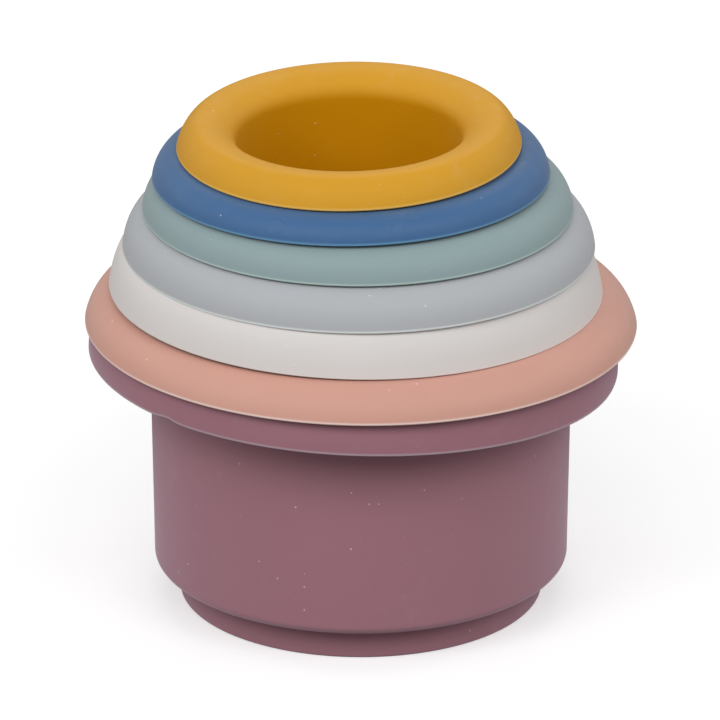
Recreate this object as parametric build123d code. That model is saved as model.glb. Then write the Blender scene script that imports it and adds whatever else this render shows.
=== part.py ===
from build123d import *
import math
import os

# Stacking cup tower: seven one-piece silicone cups, nested mouth up.
# Origin: centre of the underside of the largest cup's foot. +Z is up, lengths in millimetres.

# ---- Driving dimensions of the whole set ----
body_radius = 36.4        # largest cup, outside of its straight wall just under the lip
wall = 1.5                # side wall, and the lip's skin at its crest
nest_clearance = 1.1      # radial play between a cup and the cup it stands in
floor_thickness = 1.8
foot_inset = 4.4          # the foot is this much smaller in radius than the wall above it
foot_height = 6.0
draft_angle = 0.7         # moulding taper of every side wall, degrees
seat_gap = 0.15           # clearance left where one lip rests on the next

# ---- Lip: a skin rolled outwards and down round an oval section ----
crest_share = 0.6         # where the crest lies across the lip's width, from the bore outwards
mouth_drop = 4.4          # height of the soft rounding from the crest down into the bore
edge_thickness = 0.5      # the skin thins to this at the lip's free edge

# ---- Soft corners ----
edge_radius = 0.2
foot_radius_bottom = 0.5
step_radius = 1.6
ledge_radius = 1.0

# ---- The seven cups, largest first ----
# name, overhang of the lip beyond the wall, lip drop (crest to free edge), sweep of the lip's outer
# side round its oval in degrees, height of the cup, sideways rest as a share of the play (minus is
# to the left)
cups = [
    ("mauve_cup", 9.9, 10.3, 80.0, 53.8, 0.0),
    ("peach_cup", 13.7, 5.9, 80.0, 49.0, 0.0),
    ("cream_cup", 11.0, 9.2, 70.0, 46.5, -0.8),
    ("grey_cup", 11.9, 6.9, 82.0, 44.0, 0.35),
    ("sage_cup", 10.7, 5.8, 82.0, 41.0, -0.2),
    ("blue_cup", 10.4, 5.3, 82.0, 38.5, -0.75),
    ("yellow_cup", 8.7, 4.9, 65.0, 36.0, -0.45),
]

# ---- Values worked out from the driving dimensions ----
nest_pitch = wall + nest_clearance
draft_slope = math.tan(math.radians(draft_angle))


class Lip:
    """Section of one cup's lip, in the cup's own frame, where z = 0 is under the foot."""

    def __init__(self, index, overhang, lip_drop, sweep, height):
        self.crest_z = height
        self.edge_z = height - lip_drop
        self.wall_radius = body_radius - index * nest_pitch
        self.lip_radius = self.wall_radius + overhang
        self.bore_radius = self.wall_radius - wall
        self.inner_width = crest_share * (self.lip_radius - self.bore_radius)
        self.crest_radius = self.bore_radius + self.inner_width
        self.mouth_z = height - mouth_drop
        # oval of the outer side
        self.sweep = sweep
        sweep_cosine = math.cos(math.radians(sweep))
        self.outer_width = (self.lip_radius - self.crest_radius) / math.sin(math.radians(sweep))
        self.outer_height = lip_drop / (1 - sweep_cosine)
        self.oval_z = height - self.outer_height
        # oval of the underside, inside the outer one and ending level with the free edge
        self.under_height = self.outer_height - wall
        under_cosine = self.outer_height * sweep_cosine / self.under_height
        self.under_sweep = math.degrees(math.acos(under_cosine))
        under_reach = self.lip_radius - edge_thickness - self.crest_radius
        self.under_width = under_reach / math.sin(math.radians(self.under_sweep))

    def top_height(self, radius):
        """Height of the lip's upper face at a radius, or None beyond its edges."""
        if radius < self.bore_radius or radius > self.lip_radius:
            return None
        if radius < self.crest_radius:
            share = (self.crest_radius - radius) / self.inner_width
            return self.crest_z - mouth_drop * (1 - math.sqrt(1 - share * share))
        share = (radius - self.crest_radius) / self.outer_width
        return self.oval_z + self.outer_height * math.sqrt(1 - share * share)

    def underside(self):
        """Points along the underside, from the wall over the crest to the free edge."""
        points = [(self.lip_radius - edge_radius, self.edge_z)]
        steps = 40
        for step in range(steps + 1):
            angle = math.radians(self.under_sweep * step / steps)
            radius = self.crest_radius + self.under_width * math.sin(angle)
            height = self.oval_z + self.under_height * math.cos(angle)
            points.append((radius, height))
            angle = math.radians(90 * step / steps)
            radius = self.crest_radius - (self.inner_width - wall) * math.sin(angle)
            height = self.mouth_z + (mouth_drop - wall) * math.cos(angle)
            points.append((radius, height))
        return points


def seat_height(lower, upper, shift):
    """Height of the upper cup's foot above the lower one's, where it rests on its lip, floor or ledge."""
    turn_step = 5
    needed = max(floor_thickness, wall)
    for radius, height in upper.underside():
        for turn in range(0, 181, turn_step):
            x = shift + radius * math.cos(math.radians(turn))
            y = radius * math.sin(math.radians(turn))
            below = lower.top_height(math.hypot(x, y))
            if below is not None:
                needed = max(needed, below - height)
    return needed + seat_gap


def cup_solid(lip):
    """One cup: foot, step, tapered wall and rolled lip, as a single turned skin."""
    step_wall = lip.wall_radius - draft_slope * (lip.mouth_z - foot_height)
    foot_outer = step_wall - foot_inset
    foot_inner = foot_outer - wall
    ledge_z = foot_height + wall
    ledge_outer = lip.bore_radius - draft_slope * (lip.mouth_z - ledge_z)

    crest = (lip.crest_radius, lip.crest_z)
    under_crest = (lip.crest_radius, lip.oval_z + lip.under_height)
    edge_outer = (lip.lip_radius, lip.edge_z)
    edge_inner = (lip.lip_radius - edge_thickness, lip.edge_z)

    with BuildPart() as cup:
        with BuildSketch(Plane.XZ) as section:
            with BuildLine():
                Polyline(
                    (0, 0),
                    (foot_outer, 0),
                    (foot_outer, foot_height),
                    (step_wall, foot_height),
                    (lip.wall_radius, lip.mouth_z),
                )
                EllipticalCenterArc(
                    (lip.crest_radius, lip.mouth_z),
                    lip.inner_width - wall,
                    mouth_drop - wall,
                    start_angle=90,
                    arc_size=90,
                )
                EllipticalCenterArc(
                    (lip.crest_radius, lip.oval_z),
                    lip.under_width,
                    lip.under_height,
                    start_angle=90 - lip.under_sweep,
                    arc_size=lip.under_sweep,
                )
                Line(edge_inner, edge_outer)
                EllipticalCenterArc(
                    (lip.crest_radius, lip.oval_z),
                    lip.outer_width,
                    lip.outer_height,
                    start_angle=90 - lip.sweep,
                    arc_size=lip.sweep,
                )
                EllipticalCenterArc(
                    (lip.crest_radius, lip.mouth_z),
                    lip.inner_width,
                    mouth_drop,
                    start_angle=90,
                    arc_size=90,
                )
                Polyline(
                    (lip.bore_radius, lip.mouth_z),
                    (ledge_outer, ledge_z),
                    (foot_inner, ledge_z),
                    (foot_inner, floor_thickness),
                    (0, floor_thickness),
                    (0, 0),
                )
            make_face()
            fillet(corners(section, [edge_inner, edge_outer]), edge_radius)
            fillet(corners(section, [(foot_outer, 0)]), foot_radius_bottom)
            fillet(corners(section, [(step_wall, foot_height)]), step_radius)
            fillet(corners(section, [(ledge_outer, ledge_z)]), ledge_radius)
            fillet(corners(section, [(foot_inner, floor_thickness)]), ledge_radius)
        revolve(axis=Axis.Z)
    return cup.part


def corners(section, places):
    """The section's corner vertices nearest the given (radius, height) places."""
    chosen = []
    for radius, height in places:
        target = Vector(radius, height)
        chosen.append(min(section.vertices(), key=lambda v: (Vector(v.X, v.Y) - target).length))
    return chosen


os.makedirs("parts", exist_ok=True)

lower_lip = None
rest_x = 0.0
rest_z = 0.0
for index, (name, overhang, lip_drop, sweep, height, play_share) in enumerate(cups):
    lip = Lip(index, overhang, lip_drop, sweep, height)
    if lower_lip is not None:
        shift = play_share * nest_clearance
        rest_x += shift
        rest_z += seat_height(lower_lip, lip, shift)
    solid = Pos(rest_x, 0, rest_z) * cup_solid(lip)
    solid.label = name
    export_step(solid, f"parts/{name}.step")
    edge_z = rest_z + lip.edge_z
    crest_z = rest_z + lip.crest_z
    print(f"{name}: rests at x {rest_x:.2f}, z {rest_z:.2f}, edge {edge_z:.2f}, crest {crest_z:.2f}")
    lower_lip = lip
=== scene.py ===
import math

import bpy
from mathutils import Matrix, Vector


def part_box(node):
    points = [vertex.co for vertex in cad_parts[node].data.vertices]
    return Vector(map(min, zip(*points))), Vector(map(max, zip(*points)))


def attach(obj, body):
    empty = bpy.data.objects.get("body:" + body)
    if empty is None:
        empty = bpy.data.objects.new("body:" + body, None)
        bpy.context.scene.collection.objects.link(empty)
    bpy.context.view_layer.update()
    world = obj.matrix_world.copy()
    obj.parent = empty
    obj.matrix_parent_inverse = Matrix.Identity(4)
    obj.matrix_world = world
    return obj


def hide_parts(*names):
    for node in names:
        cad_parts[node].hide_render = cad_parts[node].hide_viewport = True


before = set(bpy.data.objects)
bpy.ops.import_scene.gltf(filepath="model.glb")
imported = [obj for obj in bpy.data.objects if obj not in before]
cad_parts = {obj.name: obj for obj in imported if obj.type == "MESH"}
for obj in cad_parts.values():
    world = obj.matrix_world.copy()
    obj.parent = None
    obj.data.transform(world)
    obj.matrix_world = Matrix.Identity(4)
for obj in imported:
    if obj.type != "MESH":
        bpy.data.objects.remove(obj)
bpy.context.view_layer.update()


# ---------------------------------------------------------------- mauve cup
# The largest cup, which carries the tower. It is one moulding of soft matt silicone: a narrow
# stepped foot, a slightly tapered wall, and a lip rolled outwards and down. Its lip is free of any
# load on the left and gives way a little on the right, where it hangs lower and closer in. Its
# colour is a painted shade a little darker than the wall's, standing in for the shade of the cup above.

mm = 0.001


def tilt(degrees):
    """The rise over each unit of run, for a slope of that many degrees."""
    return math.tan(math.radians(degrees))


WALL = 1.5 * mm                  # skin of the wall, and of a lip at its crest
FLOOR = 1.8 * mm
FOOT_HEIGHT = 6.0 * mm
FOOT_INSET = 4.4 * mm            # the foot is this much narrower than the wall above it
TAPER = tilt(0.7)
MOUTH_DROP = 4.4 * mm            # soft rounding from the crest down into the bore
CREST_SHARE = 0.6                # place of the crest across the lip, from the bore outwards
FREE_EDGE = 0.5 * mm             # thickness of the lip's free edge
EDGE_RADIUS = 0.25 * mm          # rounding of the free edge's outer corner
LIP_FADE = -9 * mm, 1 * mm       # from here to here about the mouth, the wall turns into lip
EDGE_HIGHLIGHT_FADE = 0.02 * mm, 0.3 * mm  # height over which the painted highlight along the free edge dies out
FOLD_REACH = math.radians(2.4)   # half the turn that a fold in the free edge takes up
TURNS = 240                      # facets round a cup
TRACE = 1e-6                     # the least skirt, which marks a point as on the lip
MERGE_WITHIN = 0.002 * mm        # the first and last facets meet, and so do the points at a pole


def smooth(low, high, value):
    """0 below low, 1 above high, with a soft step between."""
    t = min(max((value - low) / (high - low), 0.0), 1.0)
    return t * t * (3 - 2 * t)


def cup_outline(wall_radius, lip_radius, lip_drop, height, sweep):
    """The cup's section, from the centre of the underside out round the lip and in to the centre of
    the floor, as (radius, height, lip, skirt, edge, inside). lip is 1 on the lip and fades down the
    wall, skirt grows from the crest to the free edge, edge is 1 along the free edge's corner, and
    inside is 1 in the bore. The lip's outer side is an ellipse, swept from the crest by that many
    degrees, and its underside is a smaller ellipse that ends level with the free edge."""
    mouth = height - MOUTH_DROP
    step_wall = wall_radius - TAPER * (mouth - FOOT_HEIGHT)
    foot = step_wall - FOOT_INSET
    bore = wall_radius - WALL
    ledge = FOOT_HEIGHT + WALL
    ledge_radius = bore - TAPER * (mouth - ledge)
    crest = bore + CREST_SHARE * (lip_radius - bore)
    turn = math.radians(sweep)
    outer_x = (lip_radius - crest) / math.sin(turn)
    outer_z = lip_drop / (1 - math.cos(turn))
    oval = height - outer_z
    under_z = outer_z - WALL
    under_turn = math.acos(outer_z * math.cos(turn) / under_z)
    under_x = (lip_radius - FREE_EDGE - crest) / math.sin(under_turn)
    edge_z = height - lip_drop
    points = []

    def add(radius, z, skirt=0.0, edge=0.0, inside=0.0):
        lip = smooth(mouth + LIP_FADE[0], mouth + LIP_FADE[1], z) if skirt == 0.0 else 1.0
        points.append((radius, z, lip, skirt, edge, inside))

    def run(start, end, steps, inside=0.0):
        for k in range(steps):
            t = k / steps
            add(start[0] + (end[0] - start[0]) * t, start[1] + (end[1] - start[1]) * t,
                inside=inside)

    def corner(centre, radius, start, end, steps, inside=0.0):
        for k in range(steps + 1):
            a = math.radians(start + (end - start) * k / steps)
            add(centre[0] + radius * math.cos(a), centre[1] + radius * math.sin(a), inside=inside)

    # the underside, the foot, the step and the wall outside
    foot_round, inner_round, step_round = 0.5 * mm, 0.5 * mm, 1.6 * mm
    clear = 0.5 * mm
    run((0, 0), (foot - foot_round, 0), 8)
    corner((foot - foot_round, foot_round), foot_round, -90, 0, 8)
    corner((foot + inner_round, FOOT_HEIGHT - inner_round), inner_round, 180, 90, 5)
    corner((step_wall - step_round, FOOT_HEIGHT + step_round), step_round, -90, 0, 12)
    run((step_wall, FOOT_HEIGHT + step_round + clear), (wall_radius, mouth), 36)

    # the neck under the lip, the lip's underside, and the free edge's rounded corner
    neck_steps, under_steps, corner_steps = 14, 24, 8
    for k in range(neck_steps):
        a = math.pi / 2 * k / neck_steps
        add(crest - (crest - wall_radius) * math.cos(a), mouth + (MOUTH_DROP - WALL) * math.sin(a))
    for k in range(under_steps + 1):
        share = k / under_steps
        a = under_turn * share
        add(crest + under_x * math.sin(a), oval + under_z * math.cos(a), smooth(0, 1, share) + TRACE)
    slant = math.atan2(outer_x * math.cos(turn), outer_z * math.sin(turn))
    cut = EDGE_RADIUS / math.tan((math.pi / 2 - slant) / 2)
    for k in range(corner_steps + 1):
        a = -math.pi / 2 + (math.pi / 2 + slant) * k / corner_steps
        add(lip_radius - cut + EDGE_RADIUS * math.cos(a), edge_z + EDGE_RADIUS * (1 + math.sin(a)),
            1.0, 1.0)

    # the lip's outer side up to the crest, and its rounding down into the bore
    outer_steps, mouth_steps = 56, 28
    after_corner = edge_z + cut * math.cos(slant) + 0.04 * mm
    for k in range(1, outer_steps + 1):
        share = 1 - k / outer_steps
        a = turn * share
        z = oval + outer_z * math.cos(a)
        if z > after_corner:
            # the free edge's painted highlight fades out over this height above the edge
            pale = 1 - smooth(cut + EDGE_HIGHLIGHT_FADE[0], cut + EDGE_HIGHLIGHT_FADE[1], z - edge_z)
            add(crest + outer_x * math.sin(a), z, smooth(0, 1, share) + TRACE, pale)
    for k in range(1, mouth_steps + 1):
        share = k / mouth_steps
        a = math.pi / 2 * share
        add(crest - (crest - bore) * math.sin(a), mouth + MOUTH_DROP * math.cos(a),
            inside=smooth(0.55, 1, share))

    # the bore, the ledge over the foot, and the floor
    ledge_round, ledge_lip, floor_round = 1 * mm, 0.4 * mm, 1 * mm
    well = foot - WALL
    run((bore - TAPER * clear, mouth - clear), (ledge_radius, ledge + ledge_round + clear), 26, 1.0)
    corner((ledge_radius - ledge_round, ledge + ledge_round), ledge_round, 0, -90, 6, 1.0)
    corner((well + ledge_lip, ledge - ledge_lip), ledge_lip, 90, 180, 4, 1.0)
    corner((well - floor_round, FLOOR + floor_round), floor_round, 0, -90, 6, 1.0)
    run((well - floor_round - clear, FLOOR), (0, FLOOR), 7, 1.0)
    add(0, FLOOR, inside=1.0)
    return points


def maths(tree, operation, a, b=None):
    """One Math node: each argument is a number or the socket that feeds it."""
    node = tree.nodes.new("ShaderNodeMath")
    node.operation = operation
    for slot, given in enumerate((a, b)):
        if given is None:
            continue
        if isinstance(given, (int, float)):
            node.inputs[slot].default_value = given
        else:
            tree.links.new(given, node.inputs[slot])
    return node.outputs[0]


def turning_tree():
    """Geometry Nodes: turns a cup's outline round the cup's axis and lets its lip settle.
    The grid has one row for each point of the outline and one column for each turn."""
    tree = bpy.data.node_groups.new("Turned cup", "GeometryNodeTree")
    tree.interface.new_socket(name="Outline", in_out="INPUT", socket_type="NodeSocketGeometry")
    tree.interface.new_socket(name="Turns", in_out="INPUT", socket_type="NodeSocketInt")
    for name in ("Rest X", "Rest Z", "Lift", "Lean right", "Lean back", "Crest right", "Crest back",
                 "Crest lift", "Skirt right", "Skirt drop right", "Tuck right", "Droop right",
                 "Fold size", "Fold angle"):
        tree.interface.new_socket(name=name, in_out="INPUT", socket_type="NodeSocketFloat")
    tree.interface.new_socket(name="Silicone", in_out="INPUT", socket_type="NodeSocketMaterial")
    tree.interface.new_socket(name="Cup", in_out="OUTPUT", socket_type="NodeSocketGeometry")
    new, link = tree.nodes.new, tree.links.new
    given = new("NodeGroupInput").outputs
    made = new("NodeGroupOutput")

    size = new("GeometryNodeAttributeDomainSize")
    link(given["Outline"], size.inputs["Geometry"])
    rows = size.outputs["Point Count"]
    columns = maths(tree, "ADD", given["Turns"], 1.0)
    grid = new("GeometryNodeMeshGrid")
    link(rows, grid.inputs["Vertices X"])
    link(columns, grid.inputs["Vertices Y"])
    index = new("GeometryNodeInputIndex").outputs[0]
    row = maths(tree, "FLOOR", maths(tree, "DIVIDE", maths(tree, "ADD", index, 0.5), columns))
    column = maths(tree, "SUBTRACT", index, maths(tree, "MULTIPLY", row, columns))
    angle = maths(tree, "DIVIDE", maths(tree, "MULTIPLY", column, math.tau), given["Turns"])

    def sampled(kind, source):
        node = new("GeometryNodeSampleIndex")
        node.data_type = kind
        link(given["Outline"], node.inputs["Geometry"])
        link(source, node.inputs["Value"])
        link(row, node.inputs["Index"])
        return node.outputs[0]

    def stored(name):
        node = new("GeometryNodeInputNamedAttribute")
        node.data_type = "FLOAT"
        node.inputs["Name"].default_value = name
        return sampled("FLOAT", node.outputs["Attribute"])

    place = new("ShaderNodeSeparateXYZ")
    link(sampled("FLOAT_VECTOR", new("GeometryNodeInputPosition").outputs[0]), place.inputs[0])
    radius, height = place.outputs["X"], place.outputs["Z"]
    lip, skirt, edge, inside = stored("lip"), stored("skirt"), stored("edge"), stored("inside")
    east = maths(tree, "COSINE", angle)
    north = maths(tree, "SINE", angle)
    x = maths(tree, "MULTIPLY", radius, east)
    y = maths(tree, "MULTIPLY", radius, north)

    # the whole lip leans; the crest is pressed by the cup above; the skirt hangs free, drooping and
    # tucked in towards the right, with one small fold in its free edge
    lean = maths(tree, "ADD", maths(tree, "MULTIPLY", given["Lean right"], x),
                 maths(tree, "MULTIPLY", given["Lean back"], y))
    lean = maths(tree, "ADD", lean, given["Lift"])
    press = maths(tree, "ADD", maths(tree, "MULTIPLY", given["Crest right"], east),
                  maths(tree, "MULTIPLY", given["Crest back"], north))
    press = maths(tree, "ADD", press, given["Crest lift"])
    crest = maths(tree, "MULTIPLY", lip, maths(tree, "SUBTRACT", 1.0, skirt))
    right = maths(tree, "MAXIMUM", east, 0.0)
    off_fold = maths(tree, "DIVIDE", maths(tree, "SUBTRACT", angle, given["Fold angle"]), FOLD_REACH)
    fold = maths(tree, "MULTIPLY", maths(tree, "MULTIPLY", off_fold, off_fold), -1.0)
    fold = maths(tree, "MULTIPLY", maths(tree, "EXPONENT", fold), given["Fold size"])
    fold = maths(tree, "MULTIPLY", fold, maths(tree, "POWER", skirt, 4.0))
    droop = maths(tree, "MULTIPLY", given["Droop right"], maths(tree, "POWER", right, 2.0))
    hang = maths(tree, "ADD", droop, maths(tree, "MULTIPLY", given["Skirt drop right"], east))
    hang = maths(tree, "SUBTRACT", fold, hang)
    rise = maths(tree, "ADD", maths(tree, "MULTIPLY", lip, lean), maths(tree, "MULTIPLY", crest, press))
    rise = maths(tree, "ADD", rise, maths(tree, "MULTIPLY", skirt, hang))
    tuck = maths(tree, "MULTIPLY", given["Tuck right"], maths(tree, "POWER", right, 8.0))
    aside = maths(tree, "MULTIPLY", skirt, maths(tree, "SUBTRACT", given["Skirt right"], tuck))

    spot = new("ShaderNodeCombineXYZ")
    link(maths(tree, "ADD", maths(tree, "ADD", x, aside), given["Rest X"]), spot.inputs["X"])
    link(y, spot.inputs["Y"])
    link(maths(tree, "ADD", maths(tree, "ADD", height, rise), given["Rest Z"]), spot.inputs["Z"])
    move = new("GeometryNodeSetPosition")
    link(grid.outputs["Mesh"], move.inputs["Geometry"])
    link(spot.outputs[0], move.inputs["Position"])

    shape = move.outputs[0]
    for name, value in (("lip", lip), ("edge", edge), ("inside", inside)):
        keep = new("GeometryNodeStoreNamedAttribute")
        keep.data_type = "FLOAT"
        keep.domain = "POINT"
        keep.inputs["Name"].default_value = name
        link(shape, keep.inputs["Geometry"])
        link(value, keep.inputs["Value"])
        shape = keep.outputs[0]
    merge = new("GeometryNodeMergeByDistance")
    merge.inputs["Distance"].default_value = MERGE_WITHIN
    link(shape, merge.inputs["Geometry"])
    outwards = new("GeometryNodeFlipFaces")
    link(merge.outputs[0], outwards.inputs[0])
    round_shade = new("GeometryNodeSetShadeSmooth")
    link(outwards.outputs[0], round_shade.inputs[0])
    real = new("GeometryNodeRealizeInstances")
    link(round_shade.outputs[0], real.inputs[0])
    coat = new("GeometryNodeSetMaterial")
    link(real.outputs[0], coat.inputs["Geometry"])
    link(given["Silicone"], coat.inputs["Material"])
    link(coat.outputs[0], made.inputs["Cup"])
    return tree


turned_cup = turning_tree()


def turn_cup(name, outline, silicone, **settled):
    """Turns an outline into the finished cup of that name, resting where its CAD node rests. settled
    holds the tree's other inputs: how far the soft lip leans, lifts, droops and folds."""
    low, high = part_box(name)
    mesh = bpy.data.meshes.new(name + "_outline")
    links = [(k, k + 1) for k in range(len(outline) - 1)]
    mesh.from_pydata([(point[0], 0, point[1]) for point in outline], links, [])
    for slot, word in ((2, "lip"), (3, "skirt"), (4, "edge"), (5, "inside")):
        attribute = mesh.attributes.new(word, "FLOAT", "POINT")
        attribute.data.foreach_set("value", [point[slot] for point in outline])
    outline_piece = bpy.data.objects.new(name + "_outline", mesh)
    bpy.context.scene.collection.objects.link(outline_piece)
    modifier = outline_piece.modifiers.new("Turned cup", "NODES")
    modifier.node_group = turned_cup
    sockets = turned_cup.interface.items_tree
    inputs = {socket.name: socket.identifier for socket in sockets if socket.in_out == "INPUT"}
    modifier[inputs["Turns"]] = TURNS
    modifier[inputs["Rest X"]] = (low.x + high.x) / 2
    modifier[inputs["Rest Z"]] = low.z
    modifier[inputs["Silicone"]] = silicone
    for word, amount in settled.items():
        modifier[inputs[word.replace("_", " ").capitalize()]] = amount
    depsgraph = bpy.context.evaluated_depsgraph_get()
    shell = bpy.data.meshes.new_from_object(outline_piece.evaluated_get(depsgraph))
    bpy.data.objects.remove(outline_piece)
    piece = bpy.data.objects.new(name + "_shell", shell)
    bpy.context.scene.collection.objects.link(piece)
    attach(piece, name)
    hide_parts(name)


def silicone_effect():
    """Shader group: what matt silicone shows on its surface. Its outputs are a colour, a roughness
    and a height; the colour is clouded and dusted, with a painted shade on the lip and a deeper one in
    the bore, and a painted highlight along the free edge."""
    tree = bpy.data.node_groups.new("Silicone surface", "ShaderNodeTree")
    for name, kind, default in (("Colour", "NodeSocketColor", (0.5, 0.5, 0.5, 1)),
                                ("Edge highlight colour", "NodeSocketColor", (0.7, 0.7, 0.7, 1)),
                                ("Edge highlight share", "NodeSocketFloat", 0.5),
                                ("Lip painted shade", "NodeSocketColor", (0.5, 0.5, 0.5, 1)),
                                ("Inside painted shade", "NodeSocketColor", (0.5, 0.5, 0.5, 1)),
                                ("Roughness", "NodeSocketFloat", 0.55),
                                ("Dust", "NodeSocketFloat", 0.5),
                                ("Offset", "NodeSocketFloat", 0.0)):
        socket = tree.interface.new_socket(name=name, in_out="INPUT", socket_type=kind)
        socket.default_value = default
    for name, kind in (("Colour", "NodeSocketColor"), ("Roughness", "NodeSocketFloat"),
                       ("Height", "NodeSocketFloat")):
        tree.interface.new_socket(name=name, in_out="OUTPUT", socket_type=kind)
    new, link = tree.nodes.new, tree.links.new
    given = new("NodeGroupInput").outputs
    made = new("NodeGroupOutput").inputs
    where = new("ShaderNodeTexCoord").outputs["Object"]
    shifted = new("ShaderNodeVectorMath")
    shifted.operation = "ADD"
    link(where, shifted.inputs[0])
    link(given["Offset"], shifted.inputs[1])
    where = shifted.outputs[0]

    def noise(scale, detail, rough):
        node = new("ShaderNodeTexNoise")
        node.inputs["Scale"].default_value = scale
        node.inputs["Detail"].default_value = detail
        node.inputs["Roughness"].default_value = rough
        link(where, node.inputs["Vector"])
        return node.outputs["Fac"]

    def spread(value, low, high, to_low, to_high):
        node = new("ShaderNodeMapRange")
        node.interpolation_type = "SMOOTHSTEP"
        for name, amount in (("From Min", low), ("From Max", high),
                             ("To Min", to_low), ("To Max", to_high)):
            node.inputs[name].default_value = amount
        link(value, node.inputs["Value"])
        return node.outputs[0]

    def specks(cells, chance, size):
        """A few of the cells hold one speck each, of up to that size as a share of the cell."""
        node = new("ShaderNodeTexVoronoi")
        node.inputs["Scale"].default_value = cells
        link(where, node.inputs["Vector"])
        parts = new("ShaderNodeSeparateColor")
        link(node.outputs["Color"], parts.inputs[0])
        held = maths(tree, "GREATER_THAN", parts.outputs[0], 1 - chance)
        reach = maths(tree, "MULTIPLY", parts.outputs[1], size)
        inside = maths(tree, "SUBTRACT", reach, node.outputs["Distance"])
        inside = spread(maths(tree, "DIVIDE", inside, size), 0.0, 0.25, 0, 1)
        return maths(tree, "MULTIPLY", held, inside)

    def mixed(kind, share, a, b):
        """A Mix node for colours: each argument is a value or the socket that feeds it."""
        factor, first, second, result = 0, 6, 7, 2
        node = new("ShaderNodeMix")
        node.data_type = "RGBA"
        node.blend_type = kind
        for slot, value in ((factor, share), (first, a), (second, b)):
            if isinstance(value, (float, tuple)):
                node.inputs[slot].default_value = value
            else:
                link(value, node.inputs[slot])
        return node.outputs[result]

    # clouds some 20 mm across, rubbed patches of a few millimetres, the mould's grain of half a
    # millimetre, and specks of dust and lint of a tenth to a third of a millimetre
    cloud = spread(noise(45, 3, 0.55), 0.3, 0.7, 0, 1)
    grain = noise(1900, 2, 0.6)
    scuff = spread(noise(160, 5, 0.72), 0.56, 0.74, 0, 1)
    pale_specks = maths(tree, "MULTIPLY", specks(640, 0.16, 0.14), given["Dust"])
    dark_specks = maths(tree, "MULTIPLY", specks(410, 0.05, 0.1), given["Dust"])
    lint = maths(tree, "MULTIPLY", specks(1500, 0.05, 0.22), given["Dust"])

    def kept(name):
        node = new("ShaderNodeAttribute")
        node.attribute_name = name
        return node.outputs["Fac"]

    inside = kept("inside")
    scuff = maths(tree, "MULTIPLY", scuff, maths(tree, "SUBTRACT", 1.0, inside))
    # painted shade: the lip's colour, where a cup is given one, is darker than the wall's to stand in
    # for shade
    colour = mixed("MIX", kept("lip"), given["Colour"], given["Lip painted shade"])
    # painted shade: the bore's colour, where a cup is given one, stands in for the shade inside it
    colour = mixed("MIX", inside, colour, given["Inside painted shade"])
    # the edge tint is a painted highlight along the free edge
    shade, haze, edge_highlight = (0.75, 0.75, 0.75, 1), (0.9, 0.88, 0.86, 1), given["Edge highlight colour"]
    pale_dust, fluff, dark_dust = (0.93, 0.92, 0.9, 1), (0.9, 0.9, 0.88, 1), (0.12, 0.1, 0.09, 1)
    for kind, mask, strength, tint in (("MULTIPLY", cloud, 0.07, shade),
                                       ("MIX", scuff, 0.035, haze),
                                       ("MIX", kept("edge"), given["Edge highlight share"], edge_highlight),
                                       ("MIX", pale_specks, 0.8, pale_dust),
                                       ("MIX", lint, 0.2, fluff),
                                       ("MIX", dark_specks, 0.5, dark_dust)):
        colour = mixed(kind, maths(tree, "MULTIPLY", mask, strength), colour, tint)
    link(colour, made["Colour"])
    rough = maths(tree, "ADD", given["Roughness"], spread(noise(300, 3, 0.6), 0.3, 0.7, -0.05, 0.05))
    rough = maths(tree, "SUBTRACT", rough, maths(tree, "MULTIPLY", scuff, 0.08))
    link(rough, made["Roughness"])
    height = maths(tree, "MULTIPLY", grain, 0.35)
    height = maths(tree, "ADD", height, maths(tree, "MULTIPLY", pale_specks, 0.8))
    height = maths(tree, "ADD", height, maths(tree, "MULTIPLY", cloud, 0.6))
    link(height, made["Height"])
    return tree


silicone_surface = silicone_effect()


def linear(red, green, blue):
    """A display colour from 0 to 255, as the linear colour that shaders take."""
    def one(c):
        c = c / 255
        return c / 12.92 if c <= 0.04045 else ((c + 0.055) / 1.055) ** 2.4
    return one(red), one(green), one(blue), 1.0


def silicone(name, colour, edge_highlight_colour, offset, lip=None, inside=None, sheen=0.25,
             sheen_tint=(255, 255, 255), gloss_tint=(255, 255, 255)):
    """Matt food-grade silicone, coloured right through. lip and inside are painted shades of the lip
    and of the bore where they differ from the wall's; the edge colour is a painted highlight along the
    free edge; offset moves the pattern, so no two cups match."""
    material = bpy.data.materials.new(name)
    material.use_nodes = True
    tree = material.node_tree
    shader = tree.nodes["Principled BSDF"]
    surface = tree.nodes.new("ShaderNodeGroup")
    surface.node_tree = silicone_surface
    surface.inputs["Colour"].default_value = linear(*colour)
    surface.inputs["Edge highlight colour"].default_value = linear(*edge_highlight_colour)
    surface.inputs["Edge highlight share"].default_value = 0.9
    surface.inputs["Lip painted shade"].default_value = linear(*(lip or colour))
    surface.inputs["Inside painted shade"].default_value = linear(*(inside or lip or colour))
    surface.inputs["Roughness"].default_value = 0.55
    surface.inputs["Dust"].default_value = 0.6
    surface.inputs["Offset"].default_value = offset
    bump = tree.nodes.new("ShaderNodeBump")
    bump.inputs["Strength"].default_value = 0.25
    bump.inputs["Distance"].default_value = 0.05 * mm
    tree.links.new(surface.outputs["Colour"], shader.inputs["Base Color"])
    tree.links.new(surface.outputs["Roughness"], shader.inputs["Roughness"])
    tree.links.new(surface.outputs["Height"], bump.inputs["Height"])
    tree.links.new(bump.outputs["Normal"], shader.inputs["Normal"])
    shader.inputs["Sheen Weight"].default_value = sheen
    shader.inputs["Sheen Tint"].default_value = linear(*sheen_tint)
    shader.inputs["Sheen Roughness"].default_value = 0.45
    shader.inputs["Specular IOR Level"].default_value = 0.35
    shader.inputs["Specular Tint"].default_value = linear(*gloss_tint)
    return material


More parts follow.
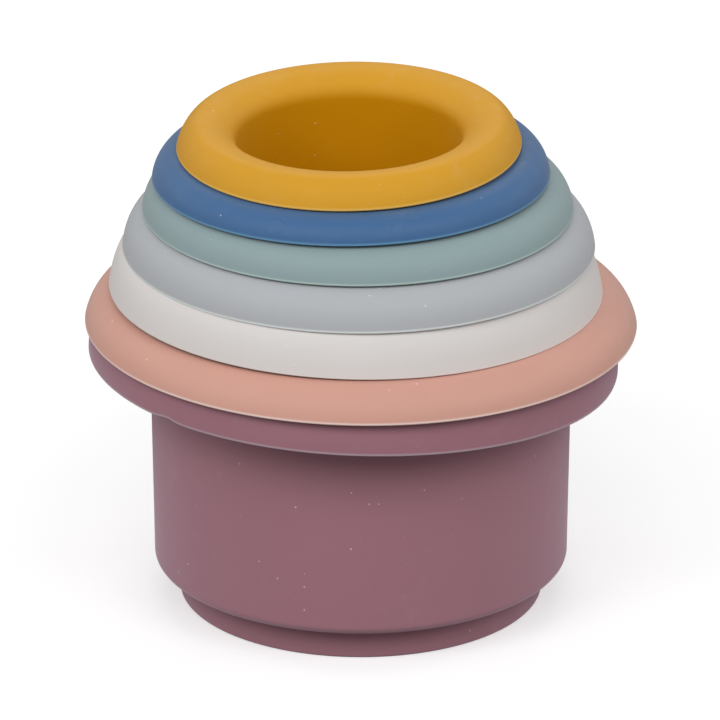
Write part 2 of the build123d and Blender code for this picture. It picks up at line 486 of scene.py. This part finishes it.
# the mauve lip's colour is a painted shade, darker than the wall, standing in for the shade of the cup
# above
mauve = silicone("mauve_silicone", (176, 124, 136), (190, 168, 178), 0.0, lip=(167, 116, 128),
                 inside=(176, 124, 136), sheen=0.8, sheen_tint=(255, 232, 250))
mauve_outline = cup_outline(36.4 * mm, 46.3 * mm, 10.3 * mm, 53.8 * mm, 88)
turn_cup("mauve_cup", mauve_outline, mauve, lean_right=tilt(-0.72), skirt_right=-0.6 * mm,
         skirt_drop_right=1.0 * mm, tuck_right=1.4 * mm, droop_right=0.6 * mm,
         fold_size=0.45 * mm, fold_angle=math.radians(226))


# ---------------------------------------------------------------- peach cup
# The second cup, one moulding of the same silicone, with the widest lip. It hangs in the mauve cup
# by that lip, which covers the mauve one's crest.

peach = silicone("peach_silicone", (220, 165, 148), (250, 222, 212), 1.3)
peach_outline = cup_outline(33.8 * mm, 47.5 * mm, 5.9 * mm, 49.0 * mm, 76)
turn_cup("peach_cup", peach_outline, peach, lean_right=tilt(-0.72), lean_back=tilt(0.2))


# ---------------------------------------------------------------- cream cup
# The third cup, one moulding of the same silicone. Its lip's free edge rests on the peach cup's
# crest, and it leans to the right, so its own crest gives way at the left under the grey cup.

cream = silicone("cream_silicone", (230, 225, 222), (236, 232, 229), 2.7)
cream_outline = cup_outline(31.2 * mm, 42.4 * mm, 9.2 * mm, 46.5 * mm, 70)
turn_cup("cream_cup", cream_outline, cream, lean_right=tilt(-1.2), lean_back=tilt(0.3),
         lift=0.2 * mm, crest_right=0.55 * mm, crest_back=0.3 * mm, crest_lift=-0.15 * mm)


# ---------------------------------------------------------------- grey cup
# The fourth cup, one moulding of the same silicone in a pale blue grey. It hangs in the cream cup by
# its lip, a little lower in front.

grey = silicone("grey_silicone", (186, 189, 193), (234, 240, 239), 4.1)
grey_outline = cup_outline(28.6 * mm, 40.5 * mm, 6.9 * mm, 44.0 * mm, 82)
turn_cup("grey_cup", grey_outline, grey, lean_right=tilt(-0.25), lean_back=tilt(0.64),
         lift=0.05 * mm, crest_back=0.15 * mm, skirt_right=0.12 * mm)


# ---------------------------------------------------------------- sage cup
# The fifth cup, one moulding of the same silicone in a grey green. It hangs in the grey cup by its
# lip, a little lower in front.

sage = silicone("sage_silicone", (150, 171, 173), (185, 207, 201), 5.9)
sage_outline = cup_outline(26.0 * mm, 36.9 * mm, 5.8 * mm, 41.0 * mm, 82)
turn_cup("sage_cup", sage_outline, sage, lean_right=tilt(-0.09), lean_back=tilt(0.5),
         crest_back=0.2 * mm, skirt_right=0.2 * mm)


# ---------------------------------------------------------------- blue cup
# The sixth cup, one moulding of the same silicone. It hangs in the sage cup by its lip, and its
# crest gives way in front, where the smallest cup presses on it.

blue = silicone("blue_silicone", (65, 108, 156), (107, 160, 197), 7.4)
blue_outline = cup_outline(23.4 * mm, 34.0 * mm, 5.3 * mm, 38.5 * mm, 82)
turn_cup("blue_cup", blue_outline, blue, lean_right=tilt(0.62), lean_back=tilt(0.3),
         crest_back=0.8 * mm, crest_lift=-0.35 * mm, skirt_right=-0.16 * mm)


# ---------------------------------------------------------------- yellow cup
# The smallest cup, one moulding of the same silicone, at the top, and the only one whose inside is
# open to view. It hangs in the blue cup by its lip and leans forward.

# the yellow bore's colour is a painted shade, deeper than the wall and with no blue
yellow = silicone("yellow_silicone", (224, 163, 48), (239, 191, 100), 8.8, sheen=0.2,
                  sheen_tint=(255, 205, 120), inside=(203, 142, 2), gloss_tint=(255, 235, 160))
yellow_outline = cup_outline(20.8 * mm, 29.5 * mm, 4.9 * mm, 36.0 * mm, 65)
turn_cup("yellow_cup", yellow_outline, yellow, lean_right=tilt(0.95), lean_back=tilt(2.05),
         lift=-0.1 * mm)


# ---------------------------------------------------------------- floor, light and camera
# A plain pale floor, and eight soft boxes in a ring: strongest in front and at its two sides, weaker
# beside and behind the tower. Away from the camera's own view the floor is a dim one, so that little
# light comes up from it.

FLOOR_REACH = 4.0             # metres from the tower to each side of the floor
floor_mesh = bpy.data.meshes.new("floor")
floor_corners = [(x * FLOOR_REACH, y * FLOOR_REACH, 0) for x, y in ((-1, -1), (1, -1), (1, 1), (-1, 1))]
floor_mesh.from_pydata(floor_corners, [], [(0, 1, 2, 3)])
floor = bpy.data.objects.new("floor", floor_mesh)
bpy.context.scene.collection.objects.link(floor)
pale = bpy.data.materials.new("pale_floor")
pale.use_nodes = True
pale_nodes, pale_link = pale.node_tree.nodes, pale.node_tree.links.new
pale_nodes.remove(pale_nodes["Principled BSDF"])
seen = pale_nodes.new("ShaderNodeBsdfDiffuse")     # what the camera sees: a bright floor
seen.inputs["Color"].default_value = (0.8, 0.8, 0.8, 1)
glow = pale_nodes.new("ShaderNodeEmission")
glow.inputs["Strength"].default_value = 0.42
bright = pale_nodes.new("ShaderNodeAddShader")
pale_link(seen.outputs[0], bright.inputs[0])
pale_link(glow.outputs[0], bright.inputs[1])
dim = pale_nodes.new("ShaderNodeBsdfDiffuse")      # what lights the tower: a dim one
dim.inputs["Color"].default_value = (0.25, 0.25, 0.25, 1)
path = pale_nodes.new("ShaderNodeLightPath")
either = pale_nodes.new("ShaderNodeMixShader")
pale_link(path.outputs["Is Camera Ray"], either.inputs[0])
pale_link(dim.outputs[0], either.inputs[1])
pale_link(bright.outputs[0], either.inputs[2])
pale_link(either.outputs[0], pale_nodes["Material Output"].inputs["Surface"])
floor.data.materials.append(pale)

world = bpy.data.worlds.new("studio")
bpy.context.scene.world = world
world.use_nodes = True
room = world.node_tree.nodes["Background"].inputs
room["Color"].default_value = (1, 1, 1, 1)
room["Strength"].default_value = 0.253

LIT_POINT = Vector((0, 0, 45 * mm))    # halfway up the tower
LIGHT_REACH = 0.85                     # metres from there to each soft box


def soft_light(name, azimuth, elevation, width, height, power):
    """A soft box aimed at the tower. The azimuth is 0 in front and 90 at the right, and it and the
    elevation are in degrees, the width and height in metres and the power in watts."""
    light = bpy.data.lights.new(name, "AREA")
    light.shape = "RECTANGLE"
    light.size = width
    light.size_y = height
    light.energy = power
    lamp = bpy.data.objects.new(name, light)
    turn, rise = math.radians(azimuth), math.radians(elevation)
    level = math.cos(rise)
    towards = Vector((math.sin(turn) * level, -math.cos(turn) * level, math.sin(rise)))
    lamp.location = LIT_POINT + LIGHT_REACH * towards
    lamp.rotation_euler = (-towards).to_track_quat("-Z", "Y").to_euler()
    bpy.context.scene.collection.objects.link(lamp)


for name, azimuth, elevation, width, height, power in (
        ("front_light", 0, 42, 0.5, 0.4, 1.42),
        ("left_front_light", -45, 35, 0.4, 0.4, 2.16),
        ("right_front_light", 45, 35, 0.4, 0.4, 1.57),
        ("left_light", -80, 20, 0.35, 0.45, 0.4),
        ("right_light", 80, 20, 0.35, 0.45, 0.57),
        ("left_rear_light", -115, 25, 0.35, 0.45, 0.77),
        ("right_rear_light", 115, 25, 0.35, 0.45, 0.83),
        ("rear_light", 180, 45, 0.6, 0.4, 1.28)):
    soft_light(name, azimuth, elevation, width, height, power)

camera_data = bpy.data.cameras.new("camera")
camera_data.lens = 350                 # a long lens
camera_data.sensor_width = 36          # both in millimetres
camera_data.clip_end = 20
camera = bpy.data.objects.new("camera", camera_data)
bpy.context.scene.collection.objects.link(camera)
bpy.context.scene.camera = camera
aim = Vector((-0.16 * mm, 0, 42.1 * mm))
distance = 1206.9 * mm
looking_down = math.radians(22.0)
camera.location = aim + distance * Vector((0, -math.cos(looking_down), math.sin(looking_down)))
camera.rotation_euler = (aim - camera.location).to_track_quat("-Z", "Y").to_euler()
bpy.context.scene.view_settings.view_transform = "Standard"
